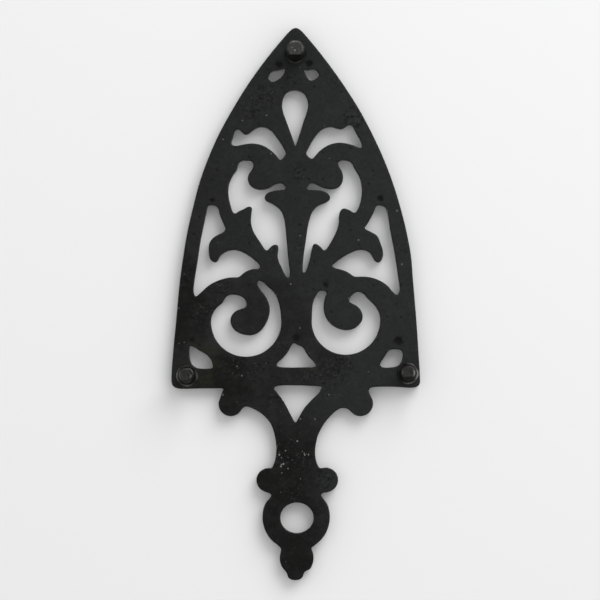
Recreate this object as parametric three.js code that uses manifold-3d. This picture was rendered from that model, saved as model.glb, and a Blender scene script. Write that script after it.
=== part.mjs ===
// A cast-iron stand for a flat iron: one pierced plate in the outline of an iron's sole, with a
// short handle that ends in a hanging ring, standing on three riveted peg feet.
// Millimetres. The stand is on its feet on the ground plane: +Z up, +Y toward the nose and +X to
// the right. The origin is on the ground under the middle of the length and the width.

import * as THREE from 'three';
import { mergeVertices } from 'three/addons/utils/BufferGeometryUtils.js';
import Module from 'manifold-3d';

// Driving dimensions.
const overallLength = 228.6;
const bodyWidth = 102.6;
const plateThickness = 5;
const footHeight = 14.5;
const tenonRadius = 2;
const tenonHeadRadius = 3.3;
const tenonHeadDepth = 1.6;
const tenonGap = 0.3;

// Heights and places that follow from them.
const undersideZ = footHeight;
const topZ = footHeight + plateThickness;
const noseY = overallLength / 2;
const handleEndY = -overallLength / 2;
const halfWidth = bodyWidth / 2;

// How finely curves are stepped.
const outlineStep = 1.25;
const roundSegments = 32;

const wasm = await Module();
wasm.setup();

const castIron = new THREE.MeshStandardMaterial({
  name: 'cast_iron',
  color: 0x272828,
  roughness: 0.62,
  metalness: 0.35,
});

const wornIron = new THREE.MeshStandardMaterial({
  name: 'worn_iron',
  color: 0x3a3a38,
  roughness: 0.5,
  metalness: 0.5,
});

// Points along a round stretch, from one angle to another in degrees.
function arc(centreX, centreY, radius, fromDegrees, toDegrees, count = 5) {
  return Array.from({ length: count }, (_, i) => {
    const angle = THREE.MathUtils.degToRad(fromDegrees + ((toDegrees - fromDegrees) * i) / (count - 1));
    return [centreX + radius * Math.cos(angle), centreY + radius * Math.sin(angle)];
  });
}

// A closed outline made of runs. Each run is a smooth curve through its points, and it ends where
// the next one starts, with a corner between them.
function outline(...runs) {
  return runs.flatMap((run, index) => {
    const nextRun = runs[(index + 1) % runs.length];
    const points = [...run, nextRun[0]].map(([x, y]) => new THREE.Vector3(x, y, 0));
    const curve = new THREE.CatmullRomCurve3(points, false, 'centripetal');
    const steps = Math.max(1, Math.round(curve.getLength() / outlineStep));
    return curve.getSpacedPoints(steps).slice(0, -1).map(({ x, y }) => new THREE.Vector2(x, y));
  });
}

// The outer edge, from the nose down the left flank, round the handle and up the right flank.
const rim = outline(
  [
    [0, noseY], [-1.6, 113.6], [-5, 110], [-13, 100], [-20.1, 90], [-26.4, 80], [-31.7, 70],
    [-36.3, 60], [-40.1, 50], [-43.2, 40], [-45.7, 30], [-47.6, 20], [-48.6, 8], [-49.7, -5],
    [-50.7, -20], [-halfWidth, -31], [-51.2, -33.8], [-49.7, -34.9], [-40, -34.7], [-31.5, -34.9],
  ],
  [[-30.2, -35.4], [-30.2, -37.2], ...arc(-26.7, -41.6, 5.3, 145, 328, 7)],
  [[-21.7, -43.8], [-19, -43.5], [-16.5, -44.8], [-12.2, -49.3], [-9.2, -54.8], [-8, -61], [-8.6, -66]],
  [[-9.9, -68.4], ...arc(-12.4, -73.1, 5.15, 95, 262, 6), [-11, -78.5]],
  [[-10.1, -79.3], [-11.4, -80.9], ...arc(-0.2, -88.4, 13.9, 155, 240, 6)],
  [[-6.2, -101.1], [-7.1, -103], ...arc(-0.4, -105.4, 7, 180, 222, 3)],
  [[-3.8, -110.5], [-3.3, -111.6], [-2.7, -113.5], [-1.3, -114.2], [0, handleEndY], [1.5, -114.2],
    [3, -113.5], [3.5, -112]],
  [[3.7, -110.8], ...arc(-0.4, -105.4, 7, 318, 360, 3), [6.3, -103]],
  [[5.7, -101.7], ...arc(-0.2, -88.4, 13.9, 300, 385, 6), [11, -81]],
  [[9.7, -79.3], [10.8, -78.5], ...arc(11.2, -73.2, 5.05, 278, 446, 6)],
  [
    [9.9, -68.4], [8.8, -66], [8, -61.5], [8.4, -56], [10.3, -50], [14, -45.9], [18, -43.6],
    [20.5, -42.8],
  ],
  [[21.7, -43.1], ...arc(26.8, -41.8, 5.1, 205, 395, 7), [30.4, -37]],
  [
    [29.5, -35.3], [40, -35.4], [49.2, -35.3], [51, -34.2], [halfWidth, -31], [50.6, -20],
    [49.2, -5], [48, 8], [46.4, 20], [44.7, 30], [42.4, 40], [39.8, 50], [36.2, 60], [31.8, 70],
    [26.3, 80], [20.2, 90], [13.1, 100], [5, 110], [1.6, 113.6],
  ],
);

// Two small slots beside the front foot. The end of each toward the nose is filled, and cut off.
const noseSlotRight = outline(
  [[4.4, 97.5], [7.3, 96.6], [9.7, 96.4]],
  [[10.4, 96], [11.4, 93.4], [10.7, 92], [9, 91.7], [7, 92.8], [4.7, 95.2]],
);
const noseSlotLeft = outline(
  [[-3.2, 96.9], [-5.4, 96.7], [-7.5, 97.2]],
  [[-8.2, 97], [-9.8, 94.5], [-8.6, 93], [-6, 92], [-4.6, 93.8]],
);

// The drop below them, with its point toward the handle.
const drop = outline(
  [[0.1, 64.7], [1.7, 69.4], [3.9, 75.5], [5.4, 79.8], [5.6, 83], [4.2, 86.9], [0.4, 88.4],
    [-3.5, 86.8], [-5.1, 83], [-4.9, 80], [-3.2, 75], [-1.6, 69.8]],
);

// The two crescents over the tulip, each notched by a leaf tip on its upper side.
const crescentRight = outline(
  [[6.5, 58.9], [7.6, 60.6], [10, 63], [13.5, 65.2], [18, 66.1], [22, 65.6], [24.8, 65], [26.6, 65.5]],
  [[26.9, 66.2], [25.9, 69], [24.9, 71.9], [24, 72.3], [22.6, 71.2], [21, 69.7], [19.6, 70.1],
    [17, 72.2], [14, 73.1], [10.6, 71.8], [7.2, 67.6], [4.9, 64]],
  [[4.1, 61.8], [5.3, 59.7]],
);
const crescentLeft = outline(
  [[-27.1, 63.8], [-25, 64.8], [-21, 66.1], [-17, 66.3], [-13, 65.1], [-9.8, 62.8]],
  [[-6.8, 59.3], [-4.2, 61.6]],
  [[-4.2, 62.1], [-7, 67.4], [-10.6, 71.8], [-14, 73.1], [-17, 72.4], [-18.9, 72], [-20.3, 72.6],
    [-21.8, 73.9], [-23.2, 73.7], [-24.8, 70.8], [-27.5, 65.4]],
);

// The large openings on each side of the stem: a slot over the curled bud, the space round the
// tulip's petal, and a long tail beside the stem.
const petalOpeningRight = outline(
  [[19.9, 51], [19.7, 53], [17.8, 55.6], [17.4, 57.5], [18.4, 58.9], [21, 59.1], [23.3, 58.7],
    [24, 57.2]],
  [[24.2, 55.5], [26.6, 52], [27.9, 48], [27.8, 44], [26.7, 39.5], [26, 37.5], [25.1, 36.7],
    [24.4, 37.1], [23.4, 38.2], [21.9, 38.5], [20.5, 39.5], [19, 40.1]],
  [[18, 39.7], [18.4, 37], [18.5, 33], [17.3, 29.2], [14.6, 25], [12.6, 21.9]],
  [[11.8, 21.3], [10.8, 22.6], [9.7, 23.8], [8, 24.2]],
  [[7.2, 24], [7.2, 22], [7.5, 18.7], [5.5, 14], [3.9, 10.8]],
  [[2.9, 9.9], [2.4, 12], [3, 17], [3.7, 25], [4.9, 35.2], [6.4, 38.5], [9.6, 41]],
  [[12.4, 42.2], [13, 43.6], [12, 45.3], [9.3, 46.4], [6, 46.8]],
  [[3.9, 46.9], [4.6, 48.6], [6.3, 49.8], [8.5, 49.2], [11, 47.7], [14.5, 46.9], [17.4, 47.6],
    [19.3, 49.2]],
);
const petalOpeningLeft = outline(
  [[-19.7, 52], [-19.3, 54.2], [-18, 56.3], [-17.4, 58.2], [-18.4, 59.1], [-21.2, 59], [-23.3, 58]],
  [[-24.2, 55.7], [-26.3, 52.4], [-27.3, 48], [-27.2, 43.6], [-26.1, 39.5], [-25, 37.5],
    [-24.4, 36.9], [-22.8, 38.1], [-20.8, 39], [-19.5, 39.3]],
  [[-19.2, 39.1], [-18.1, 37.3], [-17.8, 33], [-16.8, 29.4], [-14.5, 25], [-12.5, 21.9]],
  [[-11.8, 21.3], [-10.4, 23.1], [-8.9, 24.2], [-7.9, 24.7]],
  [[-7.3, 24.4], [-6.6, 22], [-5.8, 17.8], [-4.4, 13.6], [-3.5, 12]],
  [[-2.8, 12.2], [-3.1, 18], [-4.2, 26], [-5.4, 33.4], [-7, 38], [-9.2, 40.2], [-12.2, 41.5]],
  [[-13.9, 42.5], [-14.4, 43.8], [-13, 45.6], [-10, 46.6], [-6.5, 46.8]],
  [[-4.6, 47], [-5.1, 48.6], [-6.3, 49.9], [-8.2, 49.2], [-11.2, 47.8], [-14.8, 47.1],
    [-17.5, 47.8], [-19.3, 49.8]],
);

// The openings between the side leaves and the flanks, each with a tall end that is filled above its
// cut-off top, and a hooked leaf end.
const flankOpeningRight = outline(
  [[36.4, 40.5], [37.4, 35.6], [39.3, 26.6], [40.7, 17.2], [42, 9], [42.3, 4.6]],
  [[41.4, 2.2], [38.7, 4.7], [35.5, 7.5], [31, 9.6], [27, 10.5]],
  [[23.5, 10.5], [21.3, 12.5], [18.5, 13.8]],
  [[14.9, 14.1], [14.8, 15.4]],
  [[15.3, 16.2], [19.5, 19.6], [23.2, 21.5], [26, 22], [29.2, 21.1], [31.4, 19.4], [32.2, 17.5],
    [33.3, 16.7], [35.2, 17.6], [35.9, 20], [35.7, 24.8], [33.6, 27.4], [30, 29.2]],
  [[28.9, 30.4], [31.3, 36], [32.7, 40.1]],
);
const flankOpeningLeft = outline(
  [[-33.4, 40.5], [-32.2, 37.3], [-30.3, 33.8]],
  [[-28.2, 30.7], [-31, 29.4], [-34, 27.5], [-34.9, 25], [-36, 22], [-36, 18.6], [-34.2, 16.4],
    [-32.5, 17.6], [-31.1, 20.3], [-29, 21.7], [-26, 21.9], [-22.5, 20.6], [-18, 17.9]],
  [[-14.6, 15.2], [-16.4, 14.3], [-20, 13.4], [-22.3, 12.2]],
  [[-24.2, 10.7], [-29, 10.8], [-33.4, 9.8], [-37.6, 7.4], [-40.4, 4.2]],
  [[-42, 2.9], [-43, 5], [-42.3, 11], [-41, 20], [-39.1, 30], [-36.9, 39.8]],
);

// The two crescent-shaped openings that leave the scrolls, each wound round a curled eye. The inner
// end of the left one is filled, and cut off.
const scrollOpeningRight = outline(
  [[15.2, 9.5], [16.1, 8.3], [14.7, 5.5], [12.4, 2.6], [10.9, -0.8], [10.9, -4.6], [12.2, -8.3],
    [14.8, -11.8], [18.4, -13.4], [22.6, -12.8], [25.6, -11], [27, -8], [26.6, -5.4], [24.8, -3.4],
    [22.4, -2.5]],
  [[20.3, -1.8], [20.3, 0.1], [21.6, 2.1], [24.2, 3.3], [27, 3.4], [28.9, 2.6]],
  [[30.2, 0], [32.4, -1.6], [34.3, -4.2], ...arc(20.5, -7.7, 14.6, 0, -190, 9), [7.2, 0.6],
    [8.9, 4.2], [11.2, 6.4], [13.9, 8.9]],
);
const scrollOpeningLeft = outline(
  [[-13.1, 4.5], [-11.2, 5.2]],
  [[-9.5, 4.8], [-7.4, 1], ...arc(-20.7, -7.3, 14.2, 10, -190, 9),
    [-32.6, -1], [-30, 1.5], [-28, 3.8], [-25.8, 4.7], [-23.5, 3.4]],
  [[-22, 1.4], [-22.2, 0.1], [-24.8, -0.9], [-27, -3.2], [-27.8, -6], [-26.7, -8.5], [-24, -10.7],
    [-20.6, -11.3], [-17.2, -10.5], [-14, -8.3], [-12, -5], [-11.5, -1.5], [-12.2, 2.4]],
);

// The spandrels beside the rear feet, between the scrolls, the flanks and the heel bar. The tip of
// each toward the nose is filled.
const spandrelRight = outline(
  [[43.9, -17.6], [44, -19.5], [43.7, -23.6], [42.1, -26.3], [39.5, -27.2], [36.5, -27.2]],
  [[34.2, -27.1], [34.6, -24.2], [36.6, -21.6], [39.6, -19.9], [42.2, -18.2]],
);
const spandrelLeft = outline(
  [[-38.6, -19.4], [-36, -23.4]],
  [[-34.6, -25.6], [-35.3, -26.6], [-39.5, -26.7], [-42.5, -26], [-44, -23.2], [-44.1, -20.4]],
  [[-43.6, -19.5], [-41, -19.2]],
);

// The triangles above and below the heel bar. The upper one's tip is filled, so its top is cut off
// at a slant.
const triangleAbove = outline(
  [[1, -16.5], [1.9, -17.9], [4.2, -21.6]],
  [[7.8, -25], [8, -26], [6.8, -26.5], [-6.5, -26.6]],
  [[-8.5, -26.4], [-8, -25], [-5.2, -22.2], [-3.7, -19.6]],
  [[-3.1, -18.5], [-2.2, -18], [-0.6, -17.3]],
);
const triangleBelow = outline(
  [[0.1, -49.9], [2, -46.4], [4.7, -41.2], [7.6, -37.2]],
  [[9.3, -35.3], [8.6, -34.5], [-8, -34.4]],
  [[-10.8, -34.6], [-9.9, -36.9], [-6.4, -40.3], [-3.4, -43.7], [-1.3, -47.4]],
);

// The hanging hole in the ring at the end of the handle.
const hangingHole = new THREE.Path()
  .absellipse(-0.5, -88.7, 6.9, 6.3, 0, 2 * Math.PI)
  .getPoints(roundSegments);

const openings = [
  noseSlotRight, noseSlotLeft, drop, crescentRight, crescentLeft, petalOpeningRight,
  petalOpeningLeft, flankOpeningRight, flankOpeningLeft, scrollOpeningRight, scrollOpeningLeft,
  spandrelRight, spandrelLeft, triangleAbove, triangleBelow, hangingHole,
];

// The feet. The front one is a little stouter than the two at the heel.
const feet = [
  { name: 'foot_front', x: 0, y: 103.5, endRadius: 3.6, legRadius: 3.7 },
  { name: 'foot_rear_left', x: -46.2, y: -29.3, endRadius: 2.9, legRadius: 3.1 },
  { name: 'foot_rear_right', x: 44.8, y: -30.2, endRadius: 2.9, legRadius: 3.1 },
];
const collarRadius = 4.5;
const collarHeight = 1.4;
const endRounding = 0.6;

// A solid of revolution about a foot's own axis, with its profile given from the axis at the
// bottom to the axis at the top.
function turned(profile) {
  return new THREE.LatheGeometry(profile.map(([r, z]) => new THREE.Vector2(r, z)), roundSegments)
    .rotateX(Math.PI / 2);
}

// One foot: a flat end with a worn edge, a leg that swells into a collar against the plate's
// underside, and a tenon whose head is peened into the countersink on the top face.
function footGeometry({ endRadius, legRadius }) {
  const filletHeight = undersideZ - collarHeight;
  return turned([
    [0, 0],
    [endRadius - endRounding, 0],
    [endRadius - 0.2, 0.2],
    [endRadius, endRounding],
    [legRadius, filletHeight - 2.2],
    [legRadius + 0.3, filletHeight - 0.9],
    [collarRadius - 0.5, filletHeight],
    [collarRadius, filletHeight + 0.5],
    [collarRadius, undersideZ],
    [tenonRadius, undersideZ],
    [tenonRadius, topZ - tenonHeadDepth],
    [tenonHeadRadius, topZ],
    [0, topZ],
  ]);
}

// The cutter for a foot's tenon: a clear hole with a countersink, past both faces of the plate.
function tenonCutter({ x, y }) {
  const past = 1;
  const headSlope = (tenonHeadRadius - tenonRadius) / tenonHeadDepth;
  return turned([
    [0, undersideZ - past],
    [tenonRadius + tenonGap, undersideZ - past],
    [tenonRadius + tenonGap, topZ - tenonHeadDepth],
    [tenonHeadRadius + tenonGap + headSlope * past, topZ + past],
    [0, topZ + past],
  ]).translate(x, y, 0);
}

// A three.js geometry as a manifold solid.
function toSolid(geometry) {
  const bare = geometry.clone();
  bare.deleteAttribute('normal');
  bare.deleteAttribute('uv');
  const merged = mergeVertices(bare, 1e-4);
  return new wasm.Manifold(new wasm.Mesh({
    numProp: 3,
    vertProperties: new Float32Array(merged.attributes.position.array),
    triVerts: new Uint32Array(merged.index.array),
  }));
}

// A manifold solid as a three.js geometry.
function toGeometry(solid) {
  const { vertProperties, triVerts } = solid.getMesh();
  const geometry = new THREE.BufferGeometry();
  geometry.setAttribute('position', new THREE.BufferAttribute(vertProperties, 3));
  geometry.setIndex(new THREE.BufferAttribute(triVerts, 1));
  geometry.computeVertexNormals();
  return geometry;
}

// The casting: the pierced plate with its handle, bored for the three tenons.
function plateGeometry() {
  const shape = new THREE.Shape(rim);
  shape.holes = openings.map((points) => new THREE.Path(points));
  const blank = new THREE.ExtrudeGeometry(shape, { depth: plateThickness, bevelEnabled: false })
    .translate(0, 0, undersideZ);
  const bored = feet.reduce((solid, foot) => solid.subtract(toSolid(tenonCutter(foot))), toSolid(blank));
  return toGeometry(bored);
}

const group = new THREE.Group();

const plate = new THREE.Mesh(plateGeometry(), castIron);
plate.name = 'pierced_plate';
group.add(plate);

feet.forEach((foot) => {
  const mesh = new THREE.Mesh(footGeometry(foot), wornIron);
  mesh.name = foot.name;
  mesh.position.set(foot.x, foot.y, 0);
  group.add(mesh);
});

export default group;
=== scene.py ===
"""The looks of a cast-iron stand for a flat iron, seen from underneath with its feet toward the camera.

The stand is on its feet on a pale floor, as the frame has it. The camera is below it and looks up, so
the floor shows only from above. A pale sheet lies just over the plate's top face, and shows only from
below. Lengths are in metres, unless a name ends in _mm or a comment says millimetres.
"""

import math
import random

import bpy
import numpy as np
from mathutils import Matrix, Vector, kdtree, noise
from mathutils.geometry import delaunay_2d_cdt


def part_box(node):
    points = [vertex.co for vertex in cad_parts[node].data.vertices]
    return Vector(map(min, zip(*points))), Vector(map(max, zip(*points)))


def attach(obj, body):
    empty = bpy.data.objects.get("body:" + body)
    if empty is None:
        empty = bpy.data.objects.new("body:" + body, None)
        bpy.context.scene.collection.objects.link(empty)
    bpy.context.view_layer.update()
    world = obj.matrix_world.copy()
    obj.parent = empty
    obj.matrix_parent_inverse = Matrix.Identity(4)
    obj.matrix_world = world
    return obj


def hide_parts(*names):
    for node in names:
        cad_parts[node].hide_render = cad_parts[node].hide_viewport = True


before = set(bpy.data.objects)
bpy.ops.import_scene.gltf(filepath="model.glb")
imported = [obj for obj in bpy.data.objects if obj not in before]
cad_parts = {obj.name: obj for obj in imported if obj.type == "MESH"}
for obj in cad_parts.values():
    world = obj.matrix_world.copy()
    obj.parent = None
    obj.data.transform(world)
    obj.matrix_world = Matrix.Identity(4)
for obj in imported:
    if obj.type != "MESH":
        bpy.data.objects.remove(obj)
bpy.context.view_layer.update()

MM = 0.001

# Heights and the feet, from the frame.
PLATE = "pierced_plate"
UNDERSIDE_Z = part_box(PLATE)[0].z
TOP_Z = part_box(PLATE)[1].z
FEET = sorted(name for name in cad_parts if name.startswith("foot_"))

# Points of the CAD meshes are at one height, or at one place, where they differ by less than these.
SAME_HEIGHT = 0.01 * MM
SAME_PLACE = 0.001 * MM

# A CAD face looks up where its normal's z is at least this. An outline is a foot's bore where its middle
# is this near the foot's axis.
LOOKS_UP = 0.9
BORE_OFF_CENTRE = 0.3 * MM

# The casting's outlines: the distance between the points that lead the spline, the spline's points for
# each of those, and the distances between the mesh's points and between the points that edge distances
# are measured from.
SPLINE_STEP = 1.1 * MM
SPLINE_SAMPLES = 4
EDGE_STEP = 0.6 * MM
EDGE_SAMPLE_STEP = 0.2 * MM

# The radii of the casting's rounded edges.
UNDERSIDE_ROUNDING = 0.55 * MM
TOP_ROUNDING = 0.8 * MM

# The casting's faces have rings of points beside each outline, which keep this share of their depth from
# every edge, and inside the last ring a grid, whose points stray by a share of its step.
RING_DEPTHS_MM = (0.12, 0.35, 0.7, 1.15)
RING_MARGIN = 0.97
GRID_CLEARANCE_MM = 0.55
SURFACE_STEP = 0.9 * MM
GRID_STRAY = 0.25
TRIANGULATION_TOLERANCE = 1e-9

# How many rows of faces the casting's walls have.
WALL_STEPS = 4

# The as-cast surface, each as (waves per millimetre, height in millimetres).
SLOW_WAVES = (0.045, 0.11)
QUICK_WAVES = (0.16, 0.045)
FINE_WAVES = (0.55, 0.02)
ROUGH_WAVES = (0.42, 0.22)
WALL_WAVES = (0.45, 0.07)

# The two faces take their relief this far on either side of the pattern's middle, so that they differ,
# and it fades out this near to an edge.
FACES_APART_MM = 50
RELIEF_FADE = 1.5 * MM

# Rough places on the underside, as ((x, y), radius) in millimetres, and how far they are fully rough and
# rough at all, as shares of the radius.
ROUGH_CORE = 1 / 3
ROUGH_REACH = 7 / 6
ROUGH_PLACES = [
    ((-14.5, -29), 8.5), ((26, -27), 7), ((17, -28.5), 6), ((13, 86), 7), ((19, 79), 5),
    ((-1, 54), 4.5), ((1, -64), 9), ((-12, -73), 5), ((1, -78), 6), ((-4, -29), 6), ((32, 8), 6),
    ((-24, 76), 6), ((38, -5), 8),
]

# The openings' filled tips, sunk a little under the underside, as ((x, y), radius) in millimetres.
FILLED_TIPS = [
    ((-0.2, -14.6), 1.5), ((6.9, 98.8), 1.4), ((-5.4, 99.2), 1.6), ((-35.0, 43.0), 1.2),
    ((34.6, 42.7), 1.0), ((-42.5, -15.8), 1.9), ((43.1, -15.4), 1.1), ((-12.3, 7.5), 1.4),
]
TIP_DEPTH = 0.5 * MM

random.seed(7)


# ---------------------------------------------------------------- outlines

def foot_centre(name):
    """The (x, y) of a foot's own axis."""
    low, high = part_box(name)
    return Vector(((low.x + high.x) / 2, (low.y + high.y) / 2))


def flat_face_loops(node, height):
    """The closed outlines of a node's upper face at a height, with the metal on their left."""
    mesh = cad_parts[node].data
    points = {}
    edges = set()
    for polygon in mesh.polygons:
        corners = [mesh.vertices[index].co for index in polygon.vertices]
        is_level = all(abs(corner.z - height) <= SAME_HEIGHT for corner in corners)
        if polygon.normal.z < LOOKS_UP or not is_level:
            continue
        keys = [(round(corner.x / SAME_PLACE), round(corner.y / SAME_PLACE)) for corner in corners]
        points.update((key, (corner.x, corner.y)) for key, corner in zip(keys, corners))
        edges.update(zip(keys, keys[1:] + keys[:1]))
    onward = {start: end for start, end in edges if (end, start) not in edges}
    loops = []
    while onward:
        start = min(onward)
        keys = [start]
        while onward[keys[-1]] != start:
            keys.append(onward.pop(keys[-1]))
        onward.pop(keys[-1])
        loops.append(np.array([points[key] for key in keys]))
    return sorted(loops, key=len, reverse=True)


def evenly_spaced(loop, step):
    """The same closed line with points at even distances."""
    closed = np.vstack([loop, loop[:1]])
    lengths = np.linalg.norm(np.diff(closed, axis=0), axis=1)
    along = np.concatenate([[0], np.cumsum(lengths)])
    count = round(along[-1] / step)
    places = np.linspace(0, along[-1], count, endpoint=False)
    return np.column_stack([np.interp(places, along, closed[:, axis]) for axis in (0, 1)])


def smoothed(loop):
    """A closed cubic B-spline led by the loop's points, which rounds its corners a little."""
    before, after, next_but_one = (np.roll(loop, shift, axis=0) for shift in (1, -1, -2))
    samples = []
    for t in np.linspace(0, 1, SPLINE_SAMPLES, endpoint=False):
        samples.append(
            ((1 - t) ** 3 * before + (3 * t**3 - 6 * t**2 + 4) * loop
             + (-3 * t**3 + 3 * t**2 + 3 * t + 1) * after + t**3 * next_but_one) / 6
        )
    return np.stack(samples, axis=1).reshape(-1, 2)


def inward(loop):
    """Unit vectors from each point of a loop into the metal, which is on the loop's left."""
    ahead = np.roll(loop, -1, axis=0) - np.roll(loop, 1, axis=0)
    normals = np.column_stack([-ahead[:, 1], ahead[:, 0]])
    return normals / np.linalg.norm(normals, axis=1, keepdims=True)


# ---------------------------------------------------------------- the plate

class Edge:
    """How far any point is from the nearest edge of the plate, and on which side of it."""

    def __init__(self, loops):
        fine = [evenly_spaced(loop, EDGE_SAMPLE_STEP) for loop in loops]
        samples = np.vstack(fine)
        self.into_metal = np.vstack([inward(loop) for loop in fine])
        self.tree = kdtree.KDTree(len(samples))
        for index, (x, y) in enumerate(samples):
            self.tree.insert((x, y, 0), index)
        self.tree.balance()

    def distance(self, x, y):
        """How far a point is from the nearest edge."""
        return self.tree.find((x, y, 0))[2]

    def is_metal(self, x, y):
        """Whether a point is on the metal's side of the nearest edge."""
        nearest, index, _ = self.tree.find((x, y, 0))
        into_x, into_y = self.into_metal[index]
        return (x - nearest.x) * into_x + (y - nearest.y) * into_y > 0


def roughness_at(x, y):
    """1 in the middle of a rough place on the underside, fading to 0 outside it."""
    strongest = 0.0
    for (centre_x, centre_y), radius in ROUGH_PLACES:
        away = math.hypot(x / MM - centre_x, y / MM - centre_y) / radius
        share = (ROUGH_REACH - away) / (ROUGH_REACH - ROUGH_CORE)
        strongest = max(strongest, min(1.0, max(0.0, share)))
    return strongest


def bell(value, middle, half_width):
    """1 at the middle, falling smoothly to 0.37 at the half width and on toward 0."""
    return math.exp(-(((value - middle) / half_width) ** 2))


def uneven(place_mm, waves, offset=(0, 0, 0)):
    """A smooth random height in millimetres at a place, which another offset gives another pattern."""
    waves_per_mm, height_mm = waves
    return height_mm * noise.noise(place_mm * waves_per_mm + Vector(offset))


def relief(x, y, side):
    """How far the as-cast face stands from its true plane: slow waves, small swells and rough places,
    and on the underside the openings' filled tips.
    """
    place = Vector((x, y, side * FACES_APART_MM * MM)) / MM
    swell = uneven(place, SLOW_WAVES)
    swell += uneven(place, QUICK_WAVES, (40, 0, 0))
    swell += uneven(place, FINE_WAVES, (0, 90, 0))
    if side > 0:
        return swell * MM
    swell += roughness_at(x, y) * uneven(place, ROUGH_WAVES, (7, 7, 7))
    tips = [bell(math.dist(place.xy, centre), 0, radius) for centre, radius in FILLED_TIPS]
    return swell * MM + TIP_DEPTH * max(tips)


def rounded_edge(depth, radius):
    """How far the face is set back at a distance from the edge, where the edge is rounded."""
    if depth >= radius:
        return 0.0
    return radius - math.sqrt(max(0.0, radius**2 - (radius - depth) ** 2))


def face_points(loops, edge):
    """The (x, y) points of one face, the outlines first, and the outlines' edges."""
    points = [tuple(point) for loop in loops for point in loop]
    edges = []
    first = 0
    for loop in loops:
        last = first + len(loop)
        edges += [(i, i + 1 if i + 1 < last else first) for i in range(first, last)]
        first = last
    for depth in RING_DEPTHS_MM:
        for loop in loops:
            ring = loop + inward(loop) * depth * MM
            points += [(x, y) for x, y in ring if edge.distance(x, y) > RING_MARGIN * depth * MM]
    clear = (RING_DEPTHS_MM[-1] + GRID_CLEARANCE_MM) * MM
    low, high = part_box(PLATE)
    row = low.y
    while row < high.y:
        column = low.x
        while column < high.x:
            x = column + random.uniform(-GRID_STRAY, GRID_STRAY) * SURFACE_STEP
            y = row + random.uniform(-GRID_STRAY, GRID_STRAY) * SURFACE_STEP
            if edge.distance(x, y) > clear and edge.is_metal(x, y):
                points.append((x, y))
            column += SURFACE_STEP
        row += SURFACE_STEP
    return points, edges


def only_metal(triangles, outline_edges):
    """The triangles that are metal. Crossing an outline goes into the metal or out of it."""
    crossings = {frozenset(pair) for pair in outline_edges}
    beside = {}
    for index, triangle in enumerate(triangles):
        for pair in zip(triangle, triangle[1:] + triangle[:1]):
            beside.setdefault(frozenset(pair), []).append(index)
    border, (start,) = next((pair, owners) for pair, owners in beside.items() if len(owners) == 1)
    metal = {start: border in crossings}
    waiting = [start]
    while waiting:
        index = waiting.pop()
        triangle = triangles[index]
        for pair in zip(triangle, triangle[1:] + triangle[:1]):
            pair = frozenset(pair)
            for other in beside[pair]:
                if other not in metal:
                    metal[other] = metal[index] != (pair in crossings)
                    waiting.append(other)
    return [triangle for index, triangle in enumerate(triangles) if metal[index]]


def face_sheet(loops, edge, height, side, rounding):
    """One face of the plate as (vertices, triangles, edge distances). The outlines' points come first."""
    points, edges = face_points(loops, edge)
    corners = [Vector(point) for point in points]
    flat, _, faces, *_ = delaunay_2d_cdt(corners, edges, [], 0, TRIANGULATION_TOLERANCE, False)
    if len(flat) != len(points):
        raise RuntimeError("the face's points were changed by the triangulation")
    faces = only_metal([list(face) for face in faces], edges)
    used = sorted({index for face in faces for index in face})
    rim_count = len(edges)
    if used[:rim_count] != list(range(rim_count)):
        raise RuntimeError("the outlines' points are not all in the face")
    place_of = {old: new for new, old in enumerate(used)}
    faces = [[place_of[index] for index in face] for face in faces]
    flat = [flat[index] for index in used]
    vertices = []
    distances = []
    for index, (x, y) in enumerate(flat):
        depth = 0.0 if index < rim_count else edge.distance(x, y)
        ripple = relief(x, y, side) * min(1.0, depth / RELIEF_FADE)
        vertices.append((x, y, height - side * rounded_edge(depth, rounding) + ripple))
        distances.append(depth)
    wound = [tuple(face) if side > 0 else tuple(reversed(face)) for face in faces]
    return vertices, wound, distances


def plate_outlines():
    """The plate's outlines at even steps. All but the feet's bores are smoothed."""
    centres = [foot_centre(name) for name in FEET]
    outlines = []
    for loop in flat_face_loops(PLATE, TOP_Z):
        middle = Vector(loop.mean(axis=0))
        is_bore = any((middle - centre).length < BORE_OFF_CENTRE for centre in centres)
        outlines.append(loop if is_bore else smoothed(evenly_spaced(loop, SPLINE_STEP)))
    return [evenly_spaced(loop, EDGE_STEP) for loop in outlines]


def wall_level(loop, share):
    """The points that follow an outline at a share of the way down its wall, and waver a little."""
    top = TOP_Z - TOP_ROUNDING
    bottom = UNDERSIDE_Z + UNDERSIDE_ROUNDING
    z = top + (bottom - top) * share
    points = []
    for (x, y), (into_x, into_y) in zip(loop, inward(loop)):
        waver = MM * uneven(Vector((x, y, z)) / MM, WALL_WAVES)
        points.append((x + into_x * waver, y + into_y * waver, z))
    return points


def plate_mesh():
    """The casting as one closed mesh: two faces with rounded edges, and the walls between them."""
    outlines = plate_outlines()
    edge = Edge(outlines)
    vertices, faces, distances = face_sheet(outlines, edge, TOP_Z, 1, TOP_ROUNDING)
    under_start = len(vertices)
    under = face_sheet(outlines, edge, UNDERSIDE_Z, -1, UNDERSIDE_ROUNDING)
    vertices += under[0]
    faces += [tuple(i + under_start for i in face) for face in under[1]]
    distances += under[2]
    first = 0
    for loop in outlines:
        count = len(loop)
        upper = range(first, first + count)
        for level in range(1, WALL_STEPS + 1):
            if level == WALL_STEPS:
                lower = range(under_start + first, under_start + first + count)
            else:
                lower = range(len(vertices), len(vertices) + count)
                vertices += wall_level(loop, level / WALL_STEPS)
                distances += [0.0] * count
            for i in range(count):
                beside = (i + 1) % count
                faces.append((upper[i], lower[i], lower[beside], upper[beside]))
            upper = lower
        first += count
    return vertices, faces, distances


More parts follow.
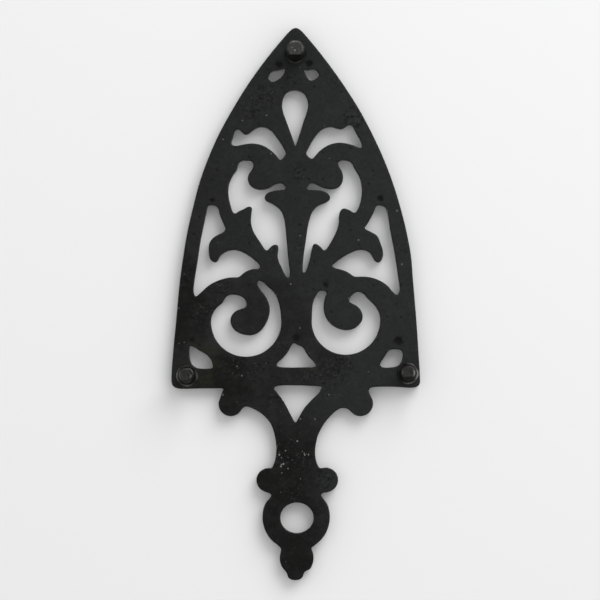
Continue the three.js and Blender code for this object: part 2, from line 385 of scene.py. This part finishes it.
def mesh_object(name, vertices, faces, smooth=True):
    """A new object from lists, linked into the scene."""
    mesh = bpy.data.meshes.new(name)
    mesh.from_pydata([tuple(v) for v in vertices], [], [tuple(f) for f in faces])
    mesh.update()
    mesh.polygons.foreach_set("use_smooth", [smooth] * len(mesh.polygons))
    made = bpy.data.objects.new(name, mesh)
    bpy.context.scene.collection.objects.link(made)
    return made


def add_number(piece, name, values):
    """A number at each vertex, which the materials can read."""
    layer = piece.data.attributes.new(name, "FLOAT", "POINT")
    layer.data.foreach_set("value", np.array(values, dtype=np.float32))


def make_plate():
    """The visible casting, with the distance to the nearest edge, in millimetres, at each vertex."""
    vertices, faces, distances = plate_mesh()
    plate = mesh_object("cast_plate", vertices, faces)
    add_number(plate, "edge_distance", [d / MM for d in distances])
    return plate


# ---------------------------------------------------------------- the feet

FOOT_SEGMENTS = 96
FOOT_STEP = 0.22 * MM

# The slope worn on one side of a foot's end: how high it reaches, and its rise for each metre outward.
FACET_HEIGHT = 4.5 * MM
FACET_SLOPE = 2.2

# A foot's roughness, as (waves per millimetre, height in millimetres), outward and along the foot. It
# fades toward the axis, and there is none from just under the plate's underside upward.
FOOT_LUMPS = (0.3, 0.28)
FOOT_BUMPS = (0.8, 0.1)
FOOT_LIFTS = (0.7, 0.1)
SMOOTH_CORE = 2 * MM
SEAT_MARGIN = 0.05 * MM

# Where a foot is rubbed bright and given painted highlights: the end's zone from its lowest point up, the
# rim's ring as shares of the end's radius, the zone of the collar from the underside down, and its
# crest's place and half width.
END_ZONE = 1.4 * MM
RIM_PLACE = 0.84
RIM_HALF_WIDTH = 0.13
FLAT_SHARE = 0.8
FACET_FADE = 0.3 * MM
COLLAR_ZONE = 1.8 * MM
CREST_INSET = 0.4 * MM
CREST_HALF_WIDTH = 0.42 * MM
# A nick is rubbed bright, with a painted glint.
NICK_WEAR_AND_GLINT = 1.6

# Each foot's own shape, wear and painted highlights. The rim's wear with its painted highlight and the
# collar's painted highlight are lobes of (direction, half width, strength), in degrees from +X toward +Y.
# A nick is ((x, y), radius) from the foot's axis in millimetres.
FOOT_SHAPES = {
    "foot_front": {
        "dish": 0.05 * MM, "facet_angle": math.radians(-92), "facet_depth": 1.3 * MM, "end_wear_and_highlight": 0.42,
        "rim_wear_and_highlight": [(90, 55, 1.0), (175, 45, 0.75), (10, 50, 0.5)],
        "collar_highlight": [(270, 70, 0.5)],
        "nicks": [((0.1, -0.6), 0.42), ((1.2, 0.5), 0.25)],
    },
    "foot_rear_left": {
        "dish": 0.2 * MM, "facet_angle": math.radians(-92), "facet_depth": 1.4 * MM, "end_wear_and_highlight": 0.29,
        "rim_wear_and_highlight": [(5, 35, 0.66), (180, 38, 1.3), (95, 40, 0.3)],
        "collar_highlight": [(185, 42, 1.4), (262, 42, 0.95), (115, 30, 0.75), (0, 60, 0.2)],
        "nicks": [],
    },
    "foot_rear_right": {
        "dish": 0.2 * MM, "facet_angle": math.radians(-92), "facet_depth": 0.65 * MM, "end_wear_and_highlight": 0.27,
        "rim_wear_and_highlight": [(0, 50, 0.78), (95, 45, 0.5), (190, 30, 0.9), (270, 40, 0.4)],
        "collar_highlight": [(0, 40, 1.1), (275, 45, 0.85), (180, 35, 0.6), (80, 40, 0.35)],
        "nicks": [],
    },
}


def cad_rings(name):
    """The foot's (radius, height) pairs in the frame, from its end to the top face."""
    centre = foot_centre(name)
    pairs = set()
    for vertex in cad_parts[name].data.vertices:
        radius = (Vector(vertex.co[:2]) - centre).length
        pairs.add((round(radius / MM, 2), round(vertex.co.z / MM, 2)))
    return [(radius * MM, z * MM) for radius, z in sorted(pairs, key=lambda pair: (pair[1], -pair[0]))]


def cad_radii(name):
    """The radii of the foot's end, which is under 1 mm high, of its leg over it and of its collar."""
    rings = [ring for ring in cad_rings(name) if ring[1] <= UNDERSIDE_Z + SAME_HEIGHT]
    end = max(radius for radius, z in rings if z < MM)
    leg = next(radius for radius, z in rings if z > MM)
    return end, leg, max(radius for radius, _ in rings)


def cad_tenon(name):
    """The foot's (radius, height) outline inside the plate and on its top face."""
    rings = [ring for ring in cad_rings(name) if ring[1] > UNDERSIDE_Z - SAME_HEIGHT]
    return rings[1:]


def stepped(line, step):
    """An open line with points at even distances, and its corners eased."""
    line = np.array(line)
    along = np.concatenate([[0], np.cumsum(np.linalg.norm(np.diff(line, axis=0), axis=1))])
    places = np.linspace(0, along[-1], round(along[-1] / step) + 1)
    points = np.column_stack([np.interp(places, along, line[:, axis]) for axis in (0, 1)])
    inner = (points[:-2] + 2 * points[1:-1] + points[2:]) / 4
    return np.vstack([points[:1], inner, points[-1:]])


def foot_profile(name, dish):
    """The foot's (radius, height) outline, from the axis at its end to the axis at the top face.

    The end is dished or flat with a rounded rim, and the leg swells into a round-shouldered collar.
    """
    end, leg, collar = cad_radii(name)
    root = UNDERSIDE_Z
    worn_end = [
        (0, dish), (0.35 * end, 0.9 * dish), (0.6 * end, 0.35 * dish), (0.74 * end, 0),
        (0.86 * end, 0.1 * MM), (0.95 * end, 0.38 * MM), (end, 0.95 * MM),
    ]
    straight_leg = [(leg, root - 3.2 * MM), (leg + 0.05 * MM, root - 1.5 * MM)]
    round_collar = [
        (leg + 0.25 * MM, root - 1.0 * MM), (collar - 0.85 * MM, root - 0.9 * MM),
        (collar - 0.5 * MM, root - 1.0 * MM), (collar - 0.2 * MM, root - 0.75 * MM),
        (collar, root - 0.35 * MM), (collar, root),
    ]
    return worn_end + straight_leg + round_collar + cad_tenon(name)


def lobes(angle, wanted):
    """A strength round a circle: the highest of (direction, half width, strength) lobes, in degrees."""
    strongest = 0.0
    for direction, half_width, strength in wanted:
        apart = (math.degrees(angle) - direction + 180) % 360 - 180
        strongest = max(strongest, strength * bell(apart, 0, half_width))
    return strongest


def collar_highlight(shape, angle, radius, collar):
    """How strong the painted highlight is on the collar's crest."""
    return bell(radius, collar - CREST_INSET, CREST_HALF_WIDTH) * lobes(angle, shape["collar_highlight"])


def end_wear_and_highlight(shape, angle, radius, end, past_facet):
    """The end's brightness: its middle rubbed, its rim rubbed with painted highlight, nicks with painted
    glint.
    """
    rim = bell(radius / end, RIM_PLACE, RIM_HALF_WIDTH) * lobes(angle, shape["rim_wear_and_highlight"])
    middle = shape["end_wear_and_highlight"] * (1 - max(0.0, radius / end - FLAT_SHARE) / (1 - FLAT_SHARE))
    place = Vector((math.cos(angle), math.sin(angle))) * radius / MM
    nicks = [bell((place - Vector(centre)).length, 0, size) for centre, size in shape["nicks"]]
    brightest = max(rim, middle, *(NICK_WEAR_AND_GLINT * nick for nick in nicks))
    return brightest * (1 - min(1.0, past_facet / FACET_FADE))


def foot_point(shape, centre, radii, angle, radius, z):
    """A foot's point, roughened and worn to a slope on one side, and its wear and painted highlight."""
    end, _, collar = radii
    if z > UNDERSIDE_Z - SEAT_MARGIN:
        outward = Vector((math.cos(angle), math.sin(angle)))
        return (*(centre + outward * radius), z), 0.0
    outward = Vector((math.cos(angle), math.sin(angle), 0))
    place = (Vector((centre.x, centre.y, 0)) + outward * radius + Vector((0, 0, z))) / MM
    rough = uneven(place, FOOT_LUMPS) + uneven(place, FOOT_BUMPS)
    lift = MM * uneven(place, FOOT_LIFTS, (5, 5, 5))
    facet = Vector((math.cos(shape["facet_angle"]), math.sin(shape["facet_angle"])))
    past_facet = max(0.0, outward.xy.dot(facet) * radius - (end - shape["facet_depth"]))
    if z < FACET_HEIGHT:
        lift += FACET_SLOPE * past_facet * (1 - z / FACET_HEIGHT)
    rough_radius = radius + rough * min(1, radius / SMOOTH_CORE) * MM
    wear_and_highlight = 0.0
    if z <= END_ZONE:
        wear_and_highlight = end_wear_and_highlight(shape, angle, radius, end, past_facet)
    elif z > UNDERSIDE_Z - COLLAR_ZONE:
        wear_and_highlight = collar_highlight(shape, angle, radius, collar)
    return (*(centre + outward.xy * rough_radius), max(0.0, z + lift)), wear_and_highlight


def make_foot(name, shape):
    """One peg foot, turned from its outline, with its own roughness, wear and painted highlights."""
    centre = foot_centre(name)
    radii = cad_radii(name)
    rings = stepped(foot_profile(name, shape["dish"]), FOOT_STEP)[1:-1]
    vertices = [(centre.x, centre.y, shape["dish"])]
    wear_and_highlight = [shape["end_wear_and_highlight"]]
    for radius, z in rings:
        for segment in range(FOOT_SEGMENTS):
            angle = 2 * math.pi * segment / FOOT_SEGMENTS
            point, brightened = foot_point(shape, centre, radii, angle, radius, z)
            vertices.append(point)
            wear_and_highlight.append(brightened)
    vertices.append((centre.x, centre.y, TOP_Z))
    wear_and_highlight.append(0.0)
    highest_ring = 1 + (len(rings) - 1) * FOOT_SEGMENTS
    faces = []
    for segment in range(FOOT_SEGMENTS):
        beside = (segment + 1) % FOOT_SEGMENTS
        faces.append((0, 1 + beside, 1 + segment))
        for low in range(1, highest_ring, FOOT_SEGMENTS):
            high = low + FOOT_SEGMENTS
            faces.append((low + segment, low + beside, high + beside, high + segment))
        faces.append((highest_ring + segment, highest_ring + beside, len(vertices) - 1))
    foot = mesh_object(name + "_peg", vertices, faces)
    add_number(foot, "wear_and_highlight", wear_and_highlight)
    return foot


# ---------------------------------------------------------------- shader nodes

# A patch's ragged edge in cycles per millimetre, the share of its radius where it is full, and the share
# of a speck that is its soft rim.
RAGGED_SCALE = 0.35
PATCH_CORE = 0.4
SPECK_RIM = 0.3


def add_node(tree, kind, inputs=None, **settings):
    """A shader node with its settings and inputs, an input being a number, a colour or a socket."""
    made = tree.nodes.new(kind)
    for name, value in settings.items():
        setattr(made, name, value)
    for name, value in (inputs or {}).items():
        if isinstance(value, bpy.types.NodeSocket):
            tree.links.new(value, made.inputs[name])
        else:
            made.inputs[name].default_value = value
    return made


def maths(tree, operation, a, b):
    """The result of one operation on two numbers or sockets."""
    return add_node(tree, "ShaderNodeMath", {0: a, 1: b}, operation=operation).outputs[0]


def scaled(tree, value, factor):
    """A socket's number times a plain number."""
    return maths(tree, "MULTIPLY", value, factor)


def millimetres(tree):
    """The place on the object, in millimetres, in the frame's own axes."""
    place = add_node(tree, "ShaderNodeTexCoord").outputs["Object"]
    inputs = {0: place, "Scale": 1 / MM}
    return add_node(tree, "ShaderNodeVectorMath", inputs, operation="SCALE").outputs[0]


def noise_value(tree, place, scale, detail=3.0, roughness=0.55):
    """A soft random number about 0.5 that varies over the object, in cycles per millimetre."""
    inputs = {"Vector": place, "Scale": scale, "Detail": detail, "Roughness": roughness}
    return add_node(tree, "ShaderNodeTexNoise", inputs).outputs["Fac"]


def ramp(tree, value, low, high):
    """0 on low's side and 1 on high's, with a smooth change between them. Low may be the greater."""
    inputs = {"Value": value, "From Min": low, "From Max": high}
    return add_node(tree, "ShaderNodeMapRange", inputs, interpolation_type="SMOOTHSTEP").outputs["Result"]


def rescaled(tree, value, at_0, at_1):
    """One number where the value is 0, another where it is 1, and a straight line between them."""
    inputs = {"Value": value, "To Min": at_0, "To Max": at_1}
    return add_node(tree, "ShaderNodeMapRange", inputs).outputs["Result"]


def mixed(tree, share, first, second):
    """The second colour over the first, by its share."""
    made = add_node(tree, "ShaderNodeMix", data_type="RGBA")
    for socket, value in (("Factor_Float", share), ("A_Color", first), ("B_Color", second)):
        target = next(s for s in made.inputs if s.identifier == socket)
        if isinstance(value, bpy.types.NodeSocket):
            tree.links.new(value, target)
        else:
            target.default_value = value if socket == "Factor_Float" else (*value, 1)
    return next(s for s in made.outputs if s.identifier == "Result_Color")


def patch(tree, place, centre, radius, waver):
    """1 at a place on the casting, fading to 0 at a radius in millimetres, with a ragged edge."""
    inputs = {0: place, 1: (1, 1, 0)}
    flat = add_node(tree, "ShaderNodeVectorMath", inputs, operation="MULTIPLY").outputs[0]
    inputs = {0: flat, 1: (*centre, 0)}
    away = add_node(tree, "ShaderNodeVectorMath", inputs, operation="DISTANCE").outputs["Value"]
    ragged = scaled(tree, noise_value(tree, place, RAGGED_SCALE), 2 * waver * radius)
    full_at = radius * (PATCH_CORE + waver)
    return ramp(tree, maths(tree, "ADD", away, ragged), radius * (1 + waver), full_at)


def highest(tree, values):
    """The highest of a list of numbers or sockets."""
    result = values[0]
    for value in values[1:]:
        result = maths(tree, "MAXIMUM", result, value)
    return result


def patches(tree, place, places, waver=0.5):
    """1 at any of a list's places, as patch() makes them, and 0 away from them all."""
    return highest(tree, [patch(tree, place, centre, radius, waver) for centre, radius in places])


def specks(tree, place, cell, share, size):
    """1 on small round grains in a share of the cells. The cell and the largest size are millimetres."""
    inputs = {"Vector": place, "Scale": 1 / cell, "Randomness": 1.0}
    cells = add_node(tree, "ShaderNodeTexVoronoi", inputs, feature="F1")
    pick = add_node(tree, "ShaderNodeSeparateColor", {"Color": cells.outputs["Color"]})
    chosen = maths(tree, "LESS_THAN", pick.outputs["Red"], share)
    reach = maths(tree, "MULTIPLY", pick.outputs["Green"], size / cell)
    inside = maths(tree, "SUBTRACT", reach, cells.outputs["Distance"])
    return maths(tree, "MULTIPLY", chosen, ramp(tree, inside, 0.0, SPECK_RIM * size / cell))


def cast_grain(tree, place):
    """The fine bumps of sand-cast iron, for bumped()."""
    return noise_value(tree, place, scale=1.7, roughness=0.6), 0.12, 0.6


def new_material(name):
    """A material with its node tree and its shader."""
    material = bpy.data.materials.new(name)
    material.use_nodes = True
    tree = material.node_tree
    return material, tree, tree.nodes["Principled BSDF"]


def bumped(tree, layers):
    """The normal of bumps over bumps, each (height from 0 to 1, its scale in millimetres, strength)."""
    normal = None
    for height, height_mm, strength in layers:
        inputs = {"Height": height, "Distance": height_mm * MM, "Strength": strength}
        if normal is not None:
            inputs["Normal"] = normal
        normal = add_node(tree, "ShaderNodeBump", inputs).outputs["Normal"]
    return normal


# ---------------------------------------------------------------- materials

# Linear red, green and blue.
BLACK_WARM = (0.0036, 0.0034, 0.0031)
BLACK = (0.0130, 0.0134, 0.0133)
BLACK_COOL = (0.0175, 0.0183, 0.0184)
OLIVE = (0.019, 0.0175, 0.009)
# A dark grey for the paler cloud and mottle, and for the painted highlights on scabs and edges.
IRON_GREY = (0.047, 0.048, 0.048)
GRAIN_LIGHT = (0.22, 0.21, 0.20)
# The feet's rubbed grey and the brighter grey of their painted highlights.
FOOT_GREY = (0.076, 0.075, 0.070)
FOOT_BRIGHT = (0.19, 0.19, 0.18)

# How far each mark covers what is under it, from 0 to 1.
DARK_AND_SHADED_COVER = 0.9
DUSK_COVER = 0.45
OLIVE_COVER = 0.6
CLOUD_COVER = 0.10
DARK_MOTTLE_COVER = 0.7
LIGHT_MOTTLE_COVER = 0.28
HOLLOW_SHADE_COVER = 0.75
SCAB_HIGHLIGHT_COVER = 0.6
EDGE_HIGHLIGHT_COVER = 0.3
LONE_GRAIN_COVER = 0.42
PIT_SHADE_COVER = 0.6

# How strong the mottle is on plain iron, and how much more there is of it in a rough place.
PLAIN_MOTTLE = 0.28
ROUGH_MOTTLE = 0.75

# The plate's black is cooler and lighter at the first x than at the second, in millimetres: partly its
# own tone and partly a painted sheen on the side that the light comes from. The change drifts by up to
# this.
COOL_SIDE_X = -80
WARM_SIDE_X = 30
TONE_DRIFT = 60.0

# The painted edge highlight begins this far from an edge and is full at this, in millimetres.
EDGE_HIGHLIGHT_FROM = 0.9
EDGE_HIGHLIGHT_FULL = 0.1

# Places on the plate that are olive, darker (on the +X side and the handle partly its tone and partly
# painted shade), half darker and full of bright grains, as ((x, y), radius) in millimetres.
OLIVE_PLACES = [((37.5, -23), 9), ((40, -33), 10), ((-6, -28), 3)]
DARK_AND_SHADED_PLACES = [
    ((54, 1), 29), ((28, -28), 12), ((30, -36), 16), ((6, -68), 22), ((10, -79), 25), ((3, -88), 22),
    ((2, -104), 18),
]
DUSKY_PLACES = [((2, -14), 16), ((8, -34), 22), ((0, -54), 16), ((10, -3), 20), ((-14, -24), 10)]
GRAIN_PLACES = [((5, -61), 4.5), ((5, -66.5), 4.5), ((-4, -62), 3.5), ((0, -56), 3)]


def stained_and_shaded_iron(tree, place):
    """The plate's black: painted sheen and shade, darker places, olive stains and a faint paler cloud."""
    across = add_node(tree, "ShaderNodeSeparateXYZ", {"Vector": place}).outputs["X"]
    drift = scaled(tree, noise_value(tree, place, scale=0.05, detail=2.0), TONE_DRIFT)
    # Painted sheen: the black is lighter as well as cooler toward -X, the side that the light comes from.
    warmth = ramp(tree, maths(tree, "SUBTRACT", across, drift), COOL_SIDE_X, WARM_SIDE_X)
    colour = mixed(tree, warmth, BLACK_COOL, BLACK)
    # Painted shade: the +X side and the handle are darker, partly in tone and partly as the side away
    # from the light.
    dark_and_shaded = patches(tree, place, DARK_AND_SHADED_PLACES, waver=0.35)
    colour = mixed(tree, scaled(tree, dark_and_shaded, DARK_AND_SHADED_COVER), colour, BLACK_WARM)
    dusky = patches(tree, place, DUSKY_PLACES, waver=0.35)
    colour = mixed(tree, scaled(tree, dusky, DUSK_COVER), colour, BLACK_WARM)
    blotches = ramp(tree, noise_value(tree, place, scale=0.3), low=0.35, high=0.6)
    olive = maths(tree, "MULTIPLY", patches(tree, place, OLIVE_PLACES), blotches)
    colour = mixed(tree, scaled(tree, olive, OLIVE_COVER), colour, OLIVE)
    cloud_noise = noise_value(tree, place, scale=0.22, detail=4.0, roughness=0.6)
    cloud = ramp(tree, cloud_noise, low=0.42, high=0.66)
    return mixed(tree, scaled(tree, cloud, CLOUD_COVER), colour, IRON_GREY)


def scabby_iron(tree, place, colour):
    """A colour's mottle, painted highlight on scabs, painted shade in hollows; the surface follows both.
    """
    elsewhere = ramp(tree, noise_value(tree, place, scale=0.07, detail=2.0), low=0.62, high=0.72)
    rough = maths(tree, "MAXIMUM", patches(tree, place, ROUGH_PLACES, waver=0.4), elsewhere)
    mottle = noise_value(tree, place, scale=0.75, roughness=0.6)
    mottled = maths(tree, "ADD", scaled(tree, rough, ROUGH_MOTTLE), PLAIN_MOTTLE)
    darker = maths(tree, "MULTIPLY", ramp(tree, mottle, low=0.50, high=0.36), mottled)
    lighter = maths(tree, "MULTIPLY", ramp(tree, mottle, low=0.52, high=0.68), mottled)
    colour = mixed(tree, scaled(tree, darker, DARK_MOTTLE_COVER), colour, BLACK_WARM)
    colour = mixed(tree, scaled(tree, lighter, LIGHT_MOTTLE_COVER), colour, IRON_GREY)
    scab_noise = noise_value(tree, place, scale=0.95, roughness=0.65)
    scabs = maths(tree, "MULTIPLY", ramp(tree, scab_noise, low=0.60, high=0.70), rough)
    hollow_noise = noise_value(tree, place, scale=0.5, detail=4.0, roughness=0.6)
    hollows = maths(tree, "MULTIPLY", ramp(tree, hollow_noise, low=0.52, high=0.64), rough)
    # Painted shade darkens the hollows and a painted highlight lightens the scabs, which the bumps also
    # sink and raise.
    colour = mixed(tree, scaled(tree, hollows, HOLLOW_SHADE_COVER), colour, BLACK_WARM)
    colour = mixed(tree, scaled(tree, scabs, SCAB_HIGHLIGHT_COVER), colour, IRON_GREY)
    return colour, scabs, hollows


def painted_tip_shade(tree, place, colour):
    """A colour with painted shade in the openings' filled tips."""
    wider = [(centre, 1.4 * radius) for centre, radius in FILLED_TIPS]
    return mixed(tree, patches(tree, place, wider, waver=0.55), colour, BLACK_WARM)


def highlit_edges(tree, place, colour):
    """A colour with a painted highlight here and there along the plate's edges."""
    edge = add_node(tree, "ShaderNodeAttribute", attribute_name="edge_distance").outputs["Fac"]
    ragged = ramp(tree, noise_value(tree, place, scale=0.5), low=0.4, high=0.7)
    brightened = maths(tree, "MULTIPLY", ramp(tree, edge, EDGE_HIGHLIGHT_FROM, EDGE_HIGHLIGHT_FULL), ragged)
    return mixed(tree, scaled(tree, brightened, EDGE_HIGHLIGHT_COVER), colour, IRON_GREY)


def grains_and_pits(tree, place, colour):
    """A colour with bright grains, alone and in clusters, and painted shade in pits, and the grains and
    pits.
    """
    lone = scaled(tree, specks(tree, place, cell=2.0, share=0.13, size=0.5), LONE_GRAIN_COVER)
    near_grains = patches(tree, place, GRAIN_PLACES)
    crowded = specks(tree, place, cell=0.95, share=0.5, size=0.5)
    clustered = maths(tree, "MULTIPLY", crowded, near_grains)
    grains = maths(tree, "MAXIMUM", lone, clustered)
    colour = mixed(tree, grains, colour, GRAIN_LIGHT)
    pits = specks(tree, place, cell=1.9, share=0.22, size=0.8)
    # Painted shade: the pits are darkened.
    return mixed(tree, scaled(tree, pits, PIT_SHADE_COVER), colour, BLACK_WARM), grains, pits


def plate_material():
    """Black cast iron: sand-cast grain, stains, scabs, light grains, and painted shade and highlights."""
    material, tree, shader = new_material("black_cast_iron")
    place = millimetres(tree)
    colour, scabs, hollows = scabby_iron(tree, place, stained_and_shaded_iron(tree, place))
    colour = highlit_edges(tree, place, painted_tip_shade(tree, place, colour))
    colour, grains, pits = grains_and_pits(tree, place, colour)
    roughness = rescaled(tree, noise_value(tree, place, scale=0.3, detail=4.0), at_0=0.48, at_1=0.70)
    normal = bumped(tree, [
        cast_grain(tree, place),
        (noise_value(tree, place, scale=0.6, detail=2.0, roughness=0.5), 0.22, 0.5),
        (scabs, 0.14, 0.7),
        (maths(tree, "ADD", pits, hollows), -0.14, 0.7),
        (grains, 0.2, 0.8),
    ])
    tree.links.new(colour, shader.inputs["Base Color"])
    tree.links.new(roughness, shader.inputs["Roughness"])
    tree.links.new(normal, shader.inputs["Normal"])
    shader.inputs["Specular IOR Level"].default_value = 0.10
    return material


def foot_material():
    """The same iron on the feet: ends rubbed dull grey, painted highlights on rims, collars and nicks."""
    material, tree, shader = new_material("worn_and_highlit_foot_iron")
    place = millimetres(tree)
    mottle = ramp(tree, noise_value(tree, place, scale=0.5, detail=4.0), low=0.3, high=0.7)
    colour = mixed(tree, mottle, BLACK_WARM, BLACK)
    wear_and_highlight = add_node(tree, "ShaderNodeAttribute", attribute_name="wear_and_highlight").outputs["Fac"]
    blotches = noise_value(tree, place, scale=0.9, detail=4.0, roughness=0.65)
    inputs = {"Value": blotches, "From Min": 0.3, "From Max": 0.7, "To Min": 0.62, "To Max": 1.28}
    patchy = add_node(tree, "ShaderNodeMapRange", inputs).outputs["Result"]
    worn_and_lit = maths(tree, "MULTIPLY", wear_and_highlight, patchy)
    colour = mixed(tree, ramp(tree, worn_and_lit, low=0.0, high=0.75), colour, FOOT_GREY)
    colour = mixed(tree, ramp(tree, worn_and_lit, low=0.6, high=1.2), colour, FOOT_BRIGHT)
    normal = bumped(tree, [cast_grain(tree, place)])
    tree.links.new(colour, shader.inputs["Base Color"])
    tree.links.new(rescaled(tree, worn_and_lit, at_0=0.66, at_1=0.46), shader.inputs["Roughness"])
    tree.links.new(normal, shader.inputs["Normal"])
    shader.inputs["Specular IOR Level"].default_value = 0.05
    return material


# ---------------------------------------------------------------- the stage

# The pale sheet's gap to the top face, half the width of the sheet and of the floor, and their greys.
BACKING_GAP = 0.4 * MM
SHEET_HALF_WIDTH = 3.0
FLOOR_GREY = 0.80
BACKING_GREY = 0.90

# The camera's distance under the plate, where it and its aim are in x and y, and its angle of view.
CAMERA_DROP = 1.2
CAMERA_XY = (-0.0175, -0.0505)
AIM_XY = (-0.0018, 0.0011)
VIEW_ANGLE = math.radians(11.78)


def one_sided_sheet(name, height, faces_up, grey):
    """A wide pale surface that shows only from the side that it faces, and holds back no light."""
    half = SHEET_HALF_WIDTH
    corners = [(-half, -half, height), (half, -half, height), (half, half, height), (-half, half, height)]
    sheet = mesh_object(name, corners, [(0, 1, 2, 3) if faces_up else (3, 2, 1, 0)], smooth=False)
    material, tree, shader = new_material(name + "_paper")
    shader.inputs["Base Color"].default_value = (grey, grey, grey, 1)
    shader.inputs["Roughness"].default_value = 0.9
    shader.inputs["Specular IOR Level"].default_value = 0.0
    clear = add_node(tree, "ShaderNodeBsdfTransparent")
    behind = add_node(tree, "ShaderNodeNewGeometry").outputs["Backfacing"]
    inputs = {0: behind, 1: shader.outputs[0], 2: clear.outputs[0]}
    both = add_node(tree, "ShaderNodeMixShader", inputs)
    tree.links.new(both.outputs[0], tree.nodes["Material Output"].inputs["Surface"])
    sheet.data.materials.append(material)
    sheet.visible_shadow = False
    sheet.visible_diffuse = False
    sheet.visible_glossy = False
    sheet.visible_transmission = False


def area_light(name, place, aim, size, power):
    """A round soft light at a place, turned to its aim, with its width and its power in watts."""
    light = bpy.data.lights.new(name, "AREA")
    light.shape = "DISK"
    light.size = size
    light.energy = power
    made = bpy.data.objects.new(name, light)
    bpy.context.scene.collection.objects.link(made)
    made.location = place
    made.rotation_euler = (Vector(aim) - Vector(place)).to_track_quat("-Z", "Y").to_euler()


def soft_room(strength, toward, lean):
    """A pale room lit from all round, and brighter toward one side by how far it leans."""
    world = bpy.data.worlds.new("pale_room")
    bpy.context.scene.world = world
    world.use_nodes = True
    tree = world.node_tree
    direction = add_node(tree, "ShaderNodeTexCoord").outputs["Generated"]
    side = add_node(tree, "ShaderNodeVectorMath", {0: direction, 1: toward}, operation="DOT_PRODUCT")
    leaning = maths(tree, "ADD", scaled(tree, side.outputs["Value"], lean), 1.0)
    background = tree.nodes["Background"]
    tree.links.new(scaled(tree, leaning, strength), background.inputs["Strength"])
    background.inputs["Color"].default_value = (1, 1, 1, 1)


def make_camera():
    """Under the stand, a little toward the handle, and looking up with the nose at the top."""
    camera = bpy.data.objects.new("camera", bpy.data.cameras.new("camera"))
    bpy.context.scene.collection.objects.link(camera)
    place = Vector((*CAMERA_XY, UNDERSIDE_Z - CAMERA_DROP))
    aim = Vector((*AIM_XY, UNDERSIDE_Z))
    ahead = (aim - place).normalized()
    right = ahead.cross(Vector((0, 1, 0))).normalized()
    above = right.cross(ahead)
    turn = Matrix((right, above, -ahead)).transposed()
    camera.matrix_world = Matrix.Translation(place) @ turn.to_4x4()
    camera.data.angle = VIEW_ANGLE
    camera.data.clip_start = 0.05
    bpy.context.scene.camera = camera


make_camera()
bpy.context.scene.view_settings.view_transform = "Standard"

plate = make_plate()
plate.data.materials.append(plate_material())
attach(plate, "root")
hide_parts(PLATE)

foot_iron = foot_material()
for name in FEET:
    foot = make_foot(name, FOOT_SHAPES[name])
    foot.data.materials.append(foot_iron)
    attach(foot, "root")
    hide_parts(name)

one_sided_sheet("floor", 0.0, faces_up=True, grey=FLOOR_GREY)
one_sided_sheet("backing", TOP_Z + BACKING_GAP, faces_up=False, grey=BACKING_GREY)
soft_room(strength=0.705, toward=(-0.35, 0.85, 0), lean=0.31)
area_light("key_below", place=(-0.65, 1.05, -0.90), aim=(0, 0, UNDERSIDE_Z), size=1.2, power=12)
area_light("key_above", place=(-0.35, 0.65, 1.3), aim=(0, 0, 0), size=0.9, power=12)
